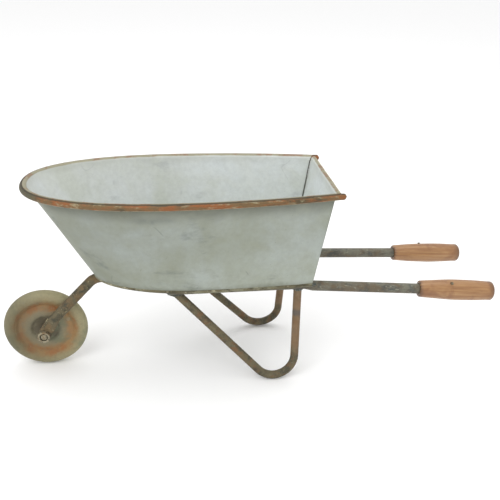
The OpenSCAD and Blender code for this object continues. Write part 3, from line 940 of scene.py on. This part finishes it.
@dataclass
class Tub:
    """The folded sheet tub: wall, rear panel, floor, seam and rolled rim."""

    finishes: Finishes
    rim: Outline = Outline(-7, 187, 382, 96, 77.5, 2.3)
    floor: Outline = Outline(72.5, 215.5, 355.5, 70.5, 65.5, 2.0)
    rim_height: float = 267.5
    floor_low: float = 138
    sheet: float = 1
    roll_r: float = 4.4
    roll_tail: float = 8
    roll_gap: float = 0.1
    hem_r: float = 3.7
    covered_step: float = 0.45
    stations: int = 160
    rows: int = 36
    curl_from: float = 0.78
    curl_end: float = 94
    curl_tuck: float = 1.15
    curl_shift: float = 0.8
    wave_grain: float = 16
    wave_depth: float = 0.45
    dents: tuple[tuple[float, ...], ...] = (
        (34, -58, 236, 13, 0.7), (96, -80, 222, 22, 0.5), (150, -86, 190, 30, 0.45),
        (228, -88, 228, 26, 0.5), (282, -80, 178, 34, 0.4), (120, 84, 210, 26, 0.6),
        (250, 84, 196, 32, 0.5), (26, 30, 214, 18, 0.5))
    panel_columns: int = 40
    panel_bow: float = 0.7
    floor_flange: float = 1.2
    floor_edge: float = 4.6
    floor_ramp: float = 1.2
    floor_raise: float = 0.6
    seam_height: float = 4.5
    seam_half: float = 0.75
    seam_out: float = 0.9
    joint_r: float = 0.8

    def outward(self, along: float) -> Vector:
        """The level direction out of the tub at a share of the rim."""
        step = 0.002
        run = (self.rim.point(min(along + step, 1), 0)
               - self.rim.point(max(along - step, 0), 0)).normalized()
        return Vector((-run.y, run.x, 0))

    def foot(self, along: float) -> Vector:
        """The wall's foot on the floor plate."""
        return self.floor.point(along, self.floor_low + self.sheet)

    def side_lean(self, along: float) -> float:
        """How far the wall leans out, in radians."""
        run = self.rim.point(along, self.rim_height) - self.foot(along)
        return math.atan2(run.dot(self.outward(along)), run.z)

    def rear_lean(self) -> float:
        """How far the rear panel leans back, in radians."""
        return math.atan2(self.rim.rear - self.floor.rear,
                          self.rim_height - self.floor_low - self.sheet)

    def head(self, along: float) -> Vector:
        """The wall's middle at the bead's height, just inside the outward rolls."""
        inset = (self.roll_r + self.roll_gap) / math.cos(self.side_lean(along)) + self.sheet / 2
        back = (self.hem_r + self.roll_gap + self.sheet) / math.cos(self.rear_lean())
        rear_share = max(0.0, 1 - (1 - abs(2 * along - 1)) / self.rim.rear_run)
        return (self.rim.point(along, self.rim_height) - self.outward(along) * inset * MM
                - Vector((back * rear_share * MM, 0, 0)))

    def wall_line(self, along: float, share: float) -> Vector:
        """A point of the wall's straight part, from its foot at 0 to its head at 1."""
        return self.foot(along).lerp(self.head(along), share)

    def curl(self, out: Vector, lean: float, radius: float, share: float) -> Vector:
        """The sheet's curl over a roll.

        Args:
            out: level direction from the sheet to the roll.
            lean: how far the sheet leans out below the curl, in radians.
            radius: the roll's radius in millimetres.
            share: 0 where the sheet first touches the roll, 1 at the end of the curl.

        Returns:
            The way from the roll's centre to the sheet's middle.
        """
        angle = lean + (math.radians(self.curl_end) - lean) * share
        reach = radius + self.sheet / 2 - self.sheet * min(1.0, self.curl_tuck * share)
        return (Vector((0, 0, math.sin(angle))) - out * math.cos(angle)) * reach * MM

    def wall_point(self, along: float, up: float) -> Vector:
        """A point of the wall's middle surface, curl included."""
        if up <= self.curl_from:
            top = self.wall_point(along, self.curl_from + 1e-6)
            return self.foot(along).lerp(top, up / self.curl_from)
        out = self.outward(along)
        share = (up - self.curl_from) / (1 - self.curl_from)
        centre = self.rim.point(along, self.rim_height)
        back = self.head(along) - centre
        back -= out * back.dot(out)
        return (centre + back * (1 - share * self.curl_shift)
                + self.curl(out, self.side_lean(along), self.roll_r, share))

    def zinc(self, piece: Workpiece, angle: float, node: str) -> None:
        """Finish a piece of sheet with its two sides of zinc, the outer darker as painted shade
        and the inner lighter as painted light.

        Args:
            piece: the piece.
            angle: edges sharper than this many degrees stay sharp.
            node: the CAD node that it replaces.
        """
        dress(piece.done(angle), [self.finishes.zinc_outside_shaded, self.finishes.zinc_inside_lit],
              Body.BARROW, [node])

    def bend_sheet(self, name: str, columns: int, bent: Surface) -> Workpiece:
        """Bend a sheet of the tub, with its faces away from the tub's middle.

        Args:
            name: the piece's name.
            columns: squares along the sheet.
            bent: place of the point at a share along and a share up.

        Returns:
            The workpiece.
        """
        piece = Workpiece.sheet(name, columns, self.rows, bent)
        piece.skin()
        piece.face_away(at(210, 0, 230))
        return piece

    def dent(self, place: Vector) -> float:
        """How deep the dents are at a place, in metres."""
        deep = 0.0
        for x, y, z, radius, depth in self.dents:
            away = (place - at(x, y, z)).length / (radius * MM)
            deep += depth * MM * math.exp(-away * away)
        return deep

    def wall(self) -> None:
        """Bend the side sheet round the tub, dent it and give it its thickness."""
        def beat(place: Vector, normal: Vector) -> Vector:
            """Dents and a slow waviness, none at the foot and the rim."""
            up = (place.z / MM - self.floor_low) / (self.rim_height - self.floor_low)
            hold = max(0.0, min(1.0, 4 * up * (1 - up)))
            wave = noise.noise(place * self.wave_grain) * self.wave_depth * MM
            return normal * hold * (wave - self.dent(place))

        piece = self.bend_sheet("tub_wall", self.stations, self.wall_point)
        piece.hammer(beat)
        piece.thicken(self.sheet)
        self.zinc(piece, 50, "tub_side_sheet")

    def panel(self) -> None:
        """Cut the rear panel, bow it a little and give it its thickness."""
        centre = at(self.rim.rear, 0, self.rim_height)
        foot = self.foot(0) + Vector((self.sheet / 2 * MM, 0, 0))
        back = Vector((1, 0, 0))

        def bent(along: float, up: float) -> Vector:
            """A point of the panel's middle surface, curl included."""
            share = min(up / self.curl_from, 1)
            turn = max(up - self.curl_from, 0) / (1 - self.curl_from)
            top = centre + self.curl(back, self.rear_lean(), self.hem_r, turn)
            bow = self.panel_bow * 16 * along * (1 - along) * share * (1 - share)
            return Vector((foot.x + (top.x - foot.x) * share + bow * MM,
                           self.wall_line(0, share).lerp(self.wall_line(1, share), along).y,
                           foot.z + (top.z - foot.z) * share))

        piece = self.bend_sheet("tub_rear_sheet", self.panel_columns, bent)
        piece.thicken(self.sheet)
        self.zinc(piece, 50, "tub_rear_panel")

    def floor_pan(self) -> None:
        """Cut the floor plate from a filled ring, raise its middle and thicken it."""
        Workpiece.clear()
        bpy.ops.mesh.primitive_circle_add(vertices=self.stations, fill_type="NGON")
        piece = Workpiece("tub_floor_pan")
        with piece.mesh() as mesh:
            mesh.verts.ensure_lookup_table()
            for k, corner in enumerate(mesh.verts):
                corner.co = self.floor.point(k / (self.stations - 1), self.floor_low)
                flat = Vector((corner.co.x - at(215, 0, 0).x, corner.co.y, 0))
                corner.co += flat.normalized() * self.floor_flange * MM
        piece.push(Vector((0, 0, self.sheet * MM)))
        bpy.ops.mesh.inset(thickness=self.floor_edge * MM, depth=0)
        bpy.ops.mesh.inset(thickness=self.floor_ramp * MM, depth=self.floor_raise * MM)
        piece.skin()
        with piece.mesh() as mesh:
            mesh.normal_update()
            for face in mesh.faces:
                face.material_index = int(face.normal.z > 0.3)
        self.zinc(piece, 30, "tub_floor")

    def roll(
        self,
        name: str,
        path: Callable[[float], Vector],
        section: Callable[[float, float], tuple[float, float]],
        steps: tuple[int, int],
        finish: Material,
        nodes: Sequence[str],
    ) -> None:
        """Roll a sheet round a path that lies level.

        Args:
            name: the piece's name.
            path: the path's point at a share of its length.
            section: sideways and upward reach, in millimetres, at a share along the path
                and an angle round the section.
            steps: steps along the path and round the section.
            finish: its material.
            nodes: the CAD nodes that it replaces.
        """
        step = 0.5 / steps[0]

        def rolled(along: float, turn: float) -> Vector:
            """A point of the rolled skin."""
            ahead, behind = path(min(along + step, 1)), path(max(along - step, 0))
            heading = (ahead - behind).normalized()
            side = Vector((heading.y, -heading.x, 0))
            out, up = section(along, turn)
            return path(along) + side * out * MM + Vector((0, 0, up * MM))

        piece = Workpiece.tube(name, *steps, rolled)
        dress(piece.done(60), [finish], Body.BARROW, nodes)

    def seam(self) -> None:
        """Fold the seam round the wall's foot."""
        def path(along: float) -> Vector:
            """The seam's middle, just outside the wall's foot."""
            place = self.floor.point(along, self.floor_low + self.seam_height / 2)
            out = Vector((place.x - at(225, 0, 0).x, place.y * 1.6, 0)).normalized()
            return place + out * self.seam_out * MM

        def section(along: float, turn: float) -> tuple[float, float]:
            """A flat lip with rounded edges and a wavy top."""
            c, s = math.cos(2 * math.pi * turn), math.sin(2 * math.pi * turn)
            wave = 0.35 * noise.noise(Vector((along * 55, 1, 0)))
            tall = self.seam_height / 2 + (wave if s > 0 else 0)
            return (self.seam_half * math.copysign(abs(c) ** 0.6, c),
                    tall * math.copysign(abs(s) ** 0.6, s))

        self.roll("folded_foot_seam", path, section, (300, 16), self.finishes.seam, ["floor_seam"])

    def corner_seams(self) -> None:
        """Run a thin rolled joint up each rear corner, on the inside."""
        for side, along in ((Side.LEFT, 0), (Side.RIGHT, 1)):

            def bent(turn: float, up: float, along: int = along, side: Side = side) -> Vector:
                """A point of the joint's skin."""
                angle = 2 * math.pi * turn
                reach = self.joint_r * (1 + 0.2 * noise.noise(Vector((up * 18, side.value, 0))))
                return (self.wall_line(along, up * 0.97 + 0.015)
                        + Vector(((reach * math.cos(angle) - 0.2) * MM,
                                  (reach * math.sin(angle) - side.value * 0.6) * MM, 0)))

            piece = Workpiece.tube(f"{side.word}_corner_seam", 14, 40, bent)
            dress(piece.done(60), [self.finishes.joint], Body.BARROW)

    def side_roll(self) -> None:
        """Roll the rim along the sides and the nose."""
        tail, tip = 0.012, 0.0062

        def path(along: float) -> Vector:
            """The rim's centre line, with a straight tail past each rear corner."""
            if along < tail or along > 1 - tail:
                share = (tail - min(along, 1 - along)) / tail
                end = self.rim.point(0 if along < 0.5 else 1, self.rim_height)
                return end + Vector((share * self.roll_tail * MM, 0, 0))
            return self.rim.point((along - tail) / (1 - 2 * tail), self.rim_height)

        def section(along: float, turn: float) -> tuple[float, float]:
            """A round roll, a step lower where the wall's curl covers it, with rounded tips."""
            angle = 2 * math.pi * turn
            radius = self.roll_r * (1 - 0.03 * abs(noise.noise(Vector((along * 40, 0, 3)))))
            radius -= self.covered_step if turn < 0.27 or turn > 0.9 else 0
            radius -= 0.35 * math.exp(-(((turn - 0.28) / 0.016) ** 2))
            end = min(along, 1 - along)
            if end < tip:
                radius *= math.sqrt(max(1 - (1 - end / tip) ** 2, 0.03))
            return radius * math.cos(angle), radius * math.sin(angle)

        self.roll("rim_roll", path, section, (400, 64), self.finishes.rolled_rim,
                  ["side_rim_bead", "side_rim_wire"])

    def hem(self) -> None:
        """Fold the rear panel's hem over its wire."""
        half = self.rim.rear_half - self.roll_r + 0.2

        def path(along: float) -> Vector:
            """The hem's centre line."""
            return at(self.rim.rear, half * (2 * along - 1), self.rim_height)

        def section(along: float, turn: float) -> tuple[float, float]:
            """A round hem, a step lower under the panel's curl, with a fold line behind it."""
            angle = 2 * math.pi * turn
            folds = math.exp(-(((turn - 0.36) / 0.022) ** 2))
            folds += 0.9 if turn < 0.26 or turn > 0.9 else 0
            radius = self.hem_r - self.covered_step * folds
            radius -= 0.1 * abs(noise.noise(Vector((along * 14, 2, 0))))
            return radius * math.cos(angle), radius * math.sin(angle)

        self.roll("rear_hem", path, section, (60, 36), self.finishes.rear_hem,
                  ["rear_rim_bead", "rear_rim_wire"])

    def build(self) -> None:
        """Make every piece of the tub."""
        for work in (self.wall, self.panel, self.floor_pan, self.seam, self.corner_seams,
                     self.side_roll, self.hem):
            work()


# ---- handles ----


@dataclass
class Handles:
    """The two rails and their turned grips."""

    finishes: Finishes
    length: float = 105
    front_r: float = 11.2
    full_r: float = 14.1
    rear_r: float = 13.2
    round_r: float = 5
    bore_r: float = 7
    bore_depth: float = 12
    rail_start: Triple = (360.5, 51, 131.1)
    rail_reach: float = 252
    splay: float = 2.5
    drop: float = 3.5
    sides: int = 64

    def profile(self) -> list[tuple[float, float]]:
        """The grip's profile, from the bottom of its bore round to its rear pole."""
        face = [(self.bore_r, self.bore_depth), (self.bore_r, 0.8), (self.bore_r + 0.8, 0),
                (self.front_r - 1.6, 0), (self.front_r - 0.5, 0.5), (self.front_r, 1.6)]
        body = [(self.front_r + (self.full_r - self.front_r) * math.sin(math.radians(150 * s)),
                 2 + (self.length - self.round_r - 2) * s) for s in [k / 22 for k in range(1, 22)]]
        end = [(self.rear_r - self.round_r + self.round_r * math.cos(a),
                self.length - self.round_r + self.round_r * math.sin(a))
               for a in [math.radians(15 * k) for k in range(1, 7)]]
        return face + body + end + [(r, self.length) for r in (5, 2, 0.01)]

    def grip(self, side: Side) -> None:
        """Turn one grip and put it on its rail."""
        low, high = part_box(f"{side.word}_grip")
        splay, drop = math.radians(self.splay), math.radians(self.drop)
        heading = Vector((math.cos(drop) * math.cos(splay),
                          side.value * math.cos(drop) * math.sin(splay), -math.sin(drop)))
        x, y, z = self.rail_start
        front = at(x, side.value * y, z) + heading * (self.rail_reach - self.length) * MM
        turn = heading.to_track_quat("Z", "Y").to_matrix().to_4x4()
        piece = Workpiece.turned(f"{side.word}_turned_grip", self.profile(), self.sides)
        piece.skin()
        piece.hammer(uneven(45, -0.25, Vector((side.value, 0, 0))))
        piece.place(Matrix.Translation(front) @ turn)
        wood = TurnedWood(f"turned_wood_{side.word}", (low.x, high.x),
                          (0, -drop, -side.value * splay)).make()
        dress(piece.done(35), [wood], Body.BARROW, [f"{side.word}_grip"])

    def build(self) -> None:
        """Make the grips and dress the rails."""
        for side in Side:
            self.grip(side)
            paint_node(f"{side.word}_rail", self.finishes.tube)
            paint_node(f"{side.word}_grip_nail", self.finishes.steel)


# ---- undercarriage ----


@dataclass
class Legs:
    """The hairpin legs and the welds that hold them and the rails."""

    finishes: Finishes
    rail_half: float = 51
    weld_level: float = 128.8
    weld_half: float = 5.9
    bead_r: float = 1.5
    struts: tuple[tuple[str, float, float], ...] = (("front", 178.5, 8.2), ("rear", 340.5, 6.1))
    lumps: tuple[tuple[str, Triple, Triple], ...] = (
        ("rail", (357, 56.5, 135.2), (7.5, 3.4, 2.6)),
        ("rail_front", (170, 59, 135.2), (4.5, 4, 2.2)))

    def weld(self, name: str, place: Vector, size: Triple, grain: float, depth: float) -> None:
        """Stretch the weld that was just added, roughen it and finish it.

        Args:
            name: the piece's name.
            place: its centre.
            size: its stretch along each axis.
            grain: how fine its unevenness is, per metre.
            depth: how deep that is in millimetres.
        """
        piece = Workpiece(name)
        bpy.ops.transform.resize(value=size, center_override=place)
        piece.place()
        piece.skin()
        piece.hammer(uneven(grain, depth))
        dress(piece.done(80), [self.finishes.weld], Body.BARROW)

    def build(self) -> None:
        """Dress the legs, ring each strut's top with weld and drop a lump at each rail."""
        for side in Side:
            paint_node(f"{side.word}_leg", self.finishes.leg)
            for end, x, half in self.struts:
                place = at(x, side.value * self.rail_half, self.weld_level)
                Workpiece.clear()
                bpy.ops.mesh.primitive_torus_add(
                    major_segments=56, minor_segments=14, location=place,
                    major_radius=self.weld_half * MM, minor_radius=self.bead_r * MM)
                self.weld(f"{side.word}_{end}_leg_weld", place,
                          (half / self.weld_half, 1, 1.15), 420, 0.7)
            for end, (x, y, z), size in self.lumps:
                place = at(x, side.value * y, z)
                Workpiece.clear()
                bpy.ops.mesh.primitive_uv_sphere_add(
                    segments=32, ring_count=20, radius=MM, location=place)
                self.weld(f"{side.word}_{end}_weld", place, size, 300, 1.0)


@dataclass
class WheelArm:
    """The one-sided arm: a bent tube with a flattened end round the axle."""

    finishes: Finishes
    tube_r: float = 6.9
    axis_z: float = 131.1
    run: float = 150
    corner_x: float = 70.5
    bend_r: float = 25
    tube_end: Triple = (15, -20.5, 81)
    eye: Triple = (0, -20.5, 56.5)
    tab_half: float = 8.5
    tab_t: float = 4
    tab_lead: float = 13
    run_steps: int = 8
    bend_steps: int = 20
    slope_steps: int = 14
    tab_steps: int = 18
    sides: int = 40

    def path(self) -> list[tuple[Vector, Vector, float, float]]:
        """The arm's stations.

        Returns:
            For each, its centre in millimetres, the direction of its thickness, and half
            of its width and of its thickness.
        """
        corner = Vector((self.corner_x, 0, self.axis_z))
        end, eye = Vector(self.tube_end), Vector(self.eye)
        slope = (end - corner).normalized()
        back, side = Vector((1, 0, 0)), Vector((0, 1, 0))
        turn = math.pi - back.angle(slope)
        setback = self.bend_r * math.tan(turn / 2)
        across = back.cross(slope).normalized()
        inner = across.cross(back).normalized()
        if inner.dot(slope) < 0:
            inner.negate()
        centre = corner + back * setback + inner * self.bend_r
        line = [corner + back * (setback + self.run * (1 - k / self.run_steps))
                for k in range(self.run_steps + 1)]
        for k in range(1, self.bend_steps):
            a = turn * k / self.bend_steps
            line.append(centre - inner * self.bend_r * math.cos(a)
                        - back * self.bend_r * math.sin(a))
        start = corner + slope * setback
        shares = [k / self.slope_steps for k in range(self.slope_steps + 1)]
        reach = (end - start).length
        line += [start.lerp(end, s) for s in shares if s * reach < reach - 3]
        r = self.tube_r
        stations = [(place, across, r, r) for place in line]
        for k in range(1, self.tab_steps + 1):
            s = k / self.tab_steps
            place = (line[-1] + slope * self.tab_lead * s).lerp(eye + (end - eye) * (1 - s),
                                                                ease(s))
            flat = ease(min(1.0, s * 1.7))
            stations.append((place, across.lerp(side, flat).normalized(),
                             r + (self.tab_half - r) * flat, r + (self.tab_t / 2 - r) * flat))
        down = (eye - end).normalized()
        for a in [math.radians(9 * k) for k in range(1, 11)]:
            stations.append((eye + down * self.tab_half * math.sin(a), side,
                             max(self.tab_half * math.cos(a), 0.02), self.tab_t / 2))
        return stations

    def build(self) -> None:
        """Bend and flatten the arm, and dress what is on the axle."""
        stations = self.path()
        count = len(stations) - 1

        def bent(along: float, turn: float) -> Vector:
            """A point of the arm's skin."""
            k = round(along * count)
            place, thin, wide, thick = stations[k]
            ahead = stations[min(k + 1, count)][0] - stations[max(k - 1, 0)][0]
            heading = ahead.normalized()
            across = heading.cross(thin).normalized()
            thin = across.cross(heading).normalized()
            angle = 2 * math.pi * turn
            square = 1 - 0.45 * (1 - thick / max(wide, thick))
            c, s = (math.copysign(abs(v) ** square, v) for v in (math.cos(angle), math.sin(angle)))
            return at(*(place + across * wide * c + thin * thick * s))

        piece = Workpiece.tube("bent_wheel_arm", count, self.sides, bent)
        piece.hammer(uneven(130, -0.3))
        dress(piece.done(50), [self.finishes.arm], Body.BARROW, ["wheel_arm"])
        for node in ("axle_collar", "axle_rod"):
            paint_node(node, self.finishes.collar)
        for node in ("axle_spacer", "axle_washers", "axle_nut"):
            paint_node(node, self.finishes.steel)


@dataclass
class Wheel:
    """The stamped wheel: two discs closed on each other round a hub tube."""

    finishes: Finishes
    radius: float = 56.5
    width: float = 19
    sheet: float = 1.2
    gap: float = 0.12
    web: tuple[tuple[float, float], ...] = (
        (40.5, 6.6), (37.2, 4.1), (34.5, 3.7), (31, 4.3), (26.5, 5.4), (23, 6.2), (20.6, 6.1),
        (18.6, 4.9), (16.6, 3.7), (13.5, 3.5), (10.5, 3.5), (6.6, 3.5))
    rim_turn: int = 135
    rim_step: int = 9
    web_steps: int = 4
    beaten_r: float = 50
    sides: int = 112

    def profile(self) -> list[tuple[float, float]]:
        """The closed profile of one disc: outside from the seam to the hub, then inside."""
        shell = self.width / 2 - self.sheet / 2
        middle = self.radius - self.width / 2
        rim = [(middle + shell * math.cos(math.radians(a)), shell * math.sin(math.radians(a)))
               for a in range(0, self.rim_turn + 1, self.rim_step)]
        line = rim + smooth_line([rim[-1], *self.web], self.web_steps)[1:]
        points = [Vector(p) for p in line]
        skins = ([], [])
        for k, point in enumerate(points):
            run = (points[min(k + 1, len(points) - 1)] - points[max(k - 1, 0)]).normalized()
            off = Vector((run.y, -run.x)) * self.sheet / 2
            for skin, edge in zip(skins, (point + off, point - off)):
                skin.append((edge.x, max(edge.y, self.gap)))
        outer, inner = skins
        return outer + inner[::-1] + outer[:1]

    def disc(self, side: Side) -> None:
        """Stamp one disc and put it on the axle, beaten a little inside its rim."""
        name = f"wheel_disc_{side.word}"
        beat = uneven(55, 0.25)
        piece = Workpiece.turned(f"stamped_{name}", self.profile(), self.sides)
        turn = Matrix.Rotation(math.radians(-90 * side.value), 4, "X")
        piece.skin()
        piece.place(Matrix.Translation(WHEEL_MIDDLE) @ turn)
        piece.hammer(lambda place, normal: beat(place, normal)
                     if (place - WHEEL_MIDDLE).length < self.beaten_r * MM else Vector())
        dress(piece.done(50), [self.finishes.disc], Body.WHEEL, [name])

    def build(self) -> None:
        """Stamp both discs and dress the hub tube."""
        for side in Side:
            self.disc(side)
        paint_node("wheel_hub_tube", self.finishes.steel)


# ---- studio ----


@dataclass
class Studio:
    """Pale floor, soft light and the camera, in metres and degrees."""

    place: Vector = Vector((-0.12227, -0.87937, 0.58052))
    yaw: float = 8.20
    pitch: float = 25.17
    roll: float = 1.26
    lens: float = 51.57
    sensor: float = 36
    aim: Vector = Vector((0, 0, 0.15))
    floor_size: float = 40
    floor_level: float = -0.0004
    floor_shade: float = 0.94
    softboxes: tuple[tuple[str, Triple, float, float], ...] = (
        ("key", (-0.9, -1.3, 1.9), 1.4, 17), ("top", (0.2, 0.3, 2.2), 1.8, 14))

    def hang(self, name: str, data: bpy.types.ID, place: Vector, turn: Matrix) -> Thing:
        """Put a camera or a light in the scene.

        Args:
            name: the object's name.
            data: its camera or light.
            place: where it is.
            turn: how it is turned.

        Returns:
            The object.
        """
        obj = bpy.data.objects.new(name, data)
        bpy.context.scene.collection.objects.link(obj)
        obj.matrix_world = Matrix.Translation(place) @ turn.to_4x4()
        return obj

    def camera(self) -> None:
        """Set up the camera."""
        yaw, pitch, roll = (math.radians(a) for a in (self.yaw, self.pitch, self.roll))
        level = Vector((math.sin(yaw), math.cos(yaw), 0))
        right = Vector((math.cos(yaw), -math.sin(yaw), 0))
        up_axis = Vector((0, 0, 1))
        ahead = level * math.cos(pitch) - up_axis * math.sin(pitch)
        up = level * math.sin(pitch) + up_axis * math.cos(pitch)
        x_axis = right * math.cos(roll) + up * math.sin(roll)
        y_axis = up * math.cos(roll) - right * math.sin(roll)
        data = bpy.data.cameras.new("camera")
        data.lens = self.lens
        data.sensor_width = self.sensor
        turn = Matrix((x_axis, y_axis, -ahead)).transposed()
        bpy.context.scene.camera = self.hang("camera", data, self.place, turn)

    def floor(self) -> None:
        """Lay the pale floor."""
        Workpiece.clear()
        bpy.ops.mesh.primitive_plane_add(size=self.floor_size, location=(0, 0, self.floor_level))
        floor = bpy.context.object
        floor.name = "studio_floor"
        paper = bpy.data.materials.new("studio_paper")
        paper.use_nodes = True
        shader = paper.node_tree.nodes["Principled BSDF"]
        shader.inputs["Base Color"].default_value = (*[self.floor_shade] * 3, 1)
        shader.inputs["Roughness"].default_value = 0.9
        shader.inputs["Specular IOR Level"].default_value = 0.1
        floor.data.materials.append(paper)

    def build(self) -> None:
        """Set up floor, world, lights and camera."""
        self.floor()
        world = bpy.data.worlds.new("studio_world")
        world.use_nodes = True
        back = world.node_tree.nodes["Background"]
        back.inputs["Color"].default_value = (1, 1, 1, 1)
        back.inputs["Strength"].default_value = 1.0
        bpy.context.scene.world = world
        bpy.context.scene.view_settings.view_transform = "Standard"
        for name, spot, size, power in self.softboxes:
            data = bpy.data.lights.new(name, "AREA")
            data.size = size
            data.energy = power
            place = Vector(spot)
            turn = (self.aim - place).to_track_quat("-Z", "Y").to_matrix()
            self.hang(name, data, place, turn)
        self.camera()


def main() -> None:
    """Build every sub-assembly in order."""
    finishes = Finishes()
    for part in (Tub(finishes), Handles(finishes), Legs(finishes), WheelArm(finishes),
                 Wheel(finishes)):
        log.info("building %s", type(part).__name__)
        part.build()
    Studio().build()


if __name__ == "__main__":
    main()
